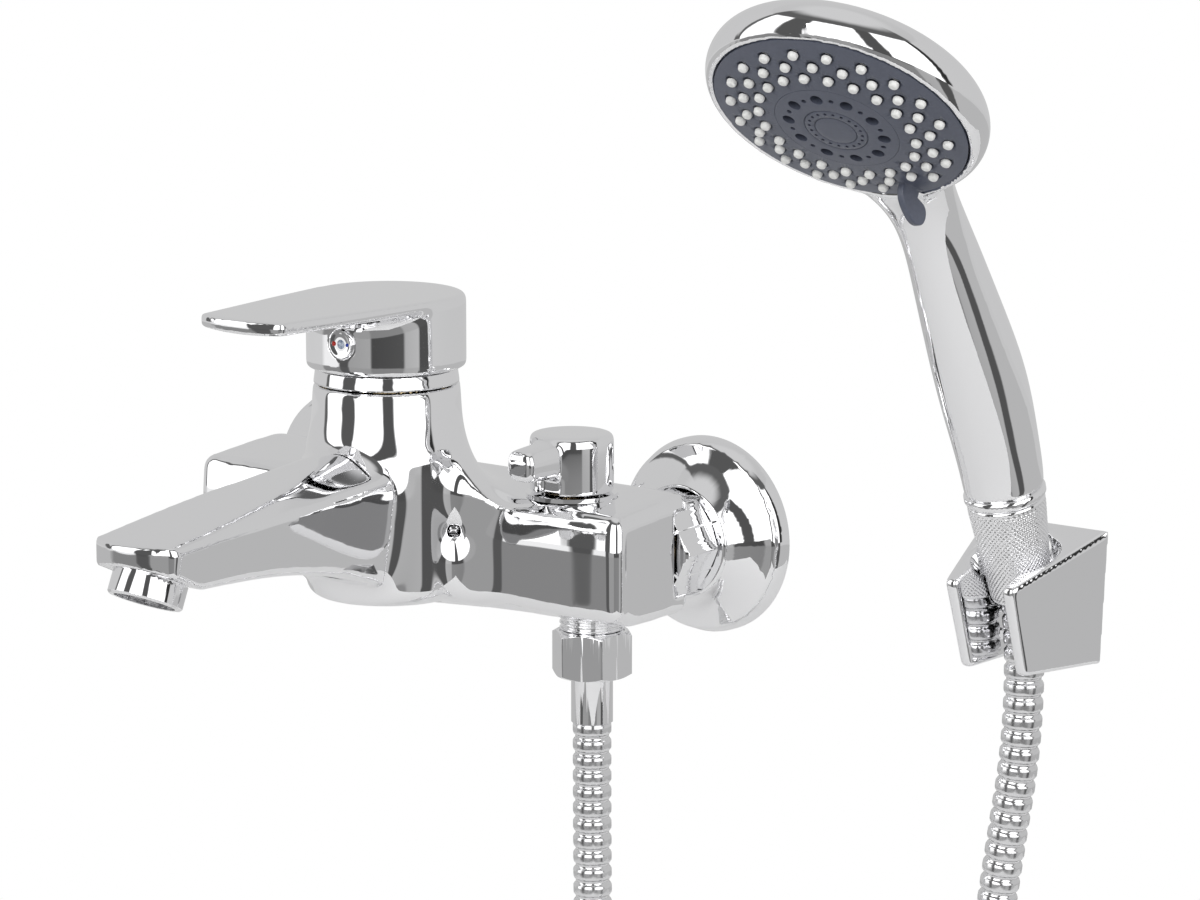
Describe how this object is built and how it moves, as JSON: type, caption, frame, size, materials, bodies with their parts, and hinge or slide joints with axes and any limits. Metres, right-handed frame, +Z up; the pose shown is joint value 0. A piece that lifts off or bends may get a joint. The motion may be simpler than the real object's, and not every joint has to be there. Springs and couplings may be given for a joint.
{
  "type": "bath_mixer",
  "caption": "Wall-mounted chrome single-lever bath mixer with a flat spout, a diverter knob, a ribbed hose, a hand shower with a selector tab, and a wall bracket.",
  "frame": {"origin": "on the wall face, midway between the two wall inlet threads", "axes": "+X to the right along the wall, +Y into the wall, +Z up"},
  "size_m": [0.3603, 0.2146, 0.5102],
  "materials": {
    "chrome_brass": "bright chrome plate on brass",
    "chromed_plastic": "bright chrome plate on moulded plastic",
    "chromed_hose": "bright interlocked steel hose",
    "bare_brass": "machined brass, unplated",
    "black_rubber": "plain black sealing rubber",
    "cartridge_plastic": "moulded grey-white plastic",
    "cartridge_steel": "plain turned steel",
    "white_ceramic": "ground white ceramic",
    "index_plastic": "clear insert over a red and a blue mark",
    "pale_plastic": "plain moulded plastic",
    "blue_grey_plastic": "satin blue-grey moulded plastic",
    "white_silicone": "soft white silicone"
  },
  "bodies": {
    "fixed": {"left_wall_flange": "chrome_brass", "right_wall_flange": "chrome_brass", "left_inlet_nut": "chrome_brass", "right_inlet_nut": "chrome_brass", "mixer_body": "chrome_brass", "tower_dome_ring": "chrome_brass", "diverter_base_ring": "chrome_brass", "aerator_housing": "chrome_brass", "hose_nut": "chrome_brass", "lower_hose_ferrule": "chrome_brass", "left_wall_union": "chrome_brass", "right_wall_union": "chrome_brass", "shower_outlet": "chrome_brass", "shower_bracket": "chromed_plastic", "hose_mixer_run": "chromed_hose", "hose_handset_run": "chromed_hose", "hose_coil": "chromed_hose", "left_inlet_tail": "bare_brass", "right_inlet_tail": "bare_brass", "cartridge_nut": "bare_brass", "diverter_headwork": "bare_brass", "left_inlet_washer": "black_rubber", "right_inlet_washer": "black_rubber", "cartridge_seals": "black_rubber", "diverter_seal": "black_rubber", "aerator_washer": "black_rubber", "lower_hose_washer": "black_rubber", "cartridge_housing": "cartridge_plastic", "cartridge_fixed_disc": "white_ceramic", "aerator_insert": "pale_plastic", "hose_tie": "pale_plastic"},
    "swivel": {"cartridge_lever_guide": "cartridge_plastic", "cartridge_lever_pin": "cartridge_steel"},
    "lever": {"handle": "chrome_brass", "handle_index_button": "index_plastic", "handle_grub_screw": "cartridge_steel", "cartridge_lever": "cartridge_steel"},
    "ceramic_slide": {"cartridge_moving_disc": "white_ceramic", "cartridge_disc_carrier": "cartridge_plastic"},
    "diverter": {"diverter_knob": "chrome_brass", "diverter_spindle": "bare_brass"},
    "hose_end": {"upper_hose_ferrule": "chrome_brass"},
    "handset": {"hose_cone_nut": "chrome_brass", "upper_hose_washer": "black_rubber", "handset_inlet": "bare_brass", "handset_shell": "chromed_plastic", "handset_tube": "pale_plastic", "handset_distributor": "pale_plastic"},
    "spray_plate": {"spray_face": "blue_grey_plastic", "spray_nozzles": "white_silicone", "spray_centre": "blue_grey_plastic"}
  },
  "joints": [
    {"name": "temperature_swivel", "type": "hinge", "parent": "fixed", "child": "swivel", "pos_m": [0, -0.0725, 0.06], "axis": [0, 0, 1], "range_deg": [-45, 45]},
    {"name": "flow_lift", "type": "hinge", "parent": "swivel", "child": "lever", "pos_m": [0, -0.0725, 0.06], "axis": [-1, 0, 0], "range_deg": [0, 25]},
    {"name": "disc_slide", "type": "slide", "parent": "swivel", "child": "ceramic_slide", "axis": [0, -1, 0], "range_m": [0, 0.00779]},
    {"name": "diverter_turn", "type": "hinge", "parent": "fixed", "child": "diverter", "pos_m": [0.057, -0.049, 0.03], "axis": [0, 0, 1], "range_deg": [0, 90]},
    {"name": "handset_lift", "type": "slide", "parent": "fixed", "child": "hose_end", "axis": [0, -0.2924, 0.9563], "range_m": [0, 0.04]},
    {"name": "handset_turn", "type": "hinge", "parent": "hose_end", "child": "handset", "pos_m": [0.2052, -0.01435, 0.00994], "axis": [0, -0.2924, 0.9563], "range_deg": [-45, 45]},
    {"name": "spray_selector", "type": "hinge", "parent": "handset", "child": "spray_plate", "pos_m": [0.21218, -0.12159, 0.16642], "axis": [-0.1031, 0.6474, 0.7552], "range_deg": [0, 36]}
  ],
  "couplings": [
    {"joint": "disc_slide", "follows": "flow_lift", "m_per_rad": 0.017858}
  ]
}
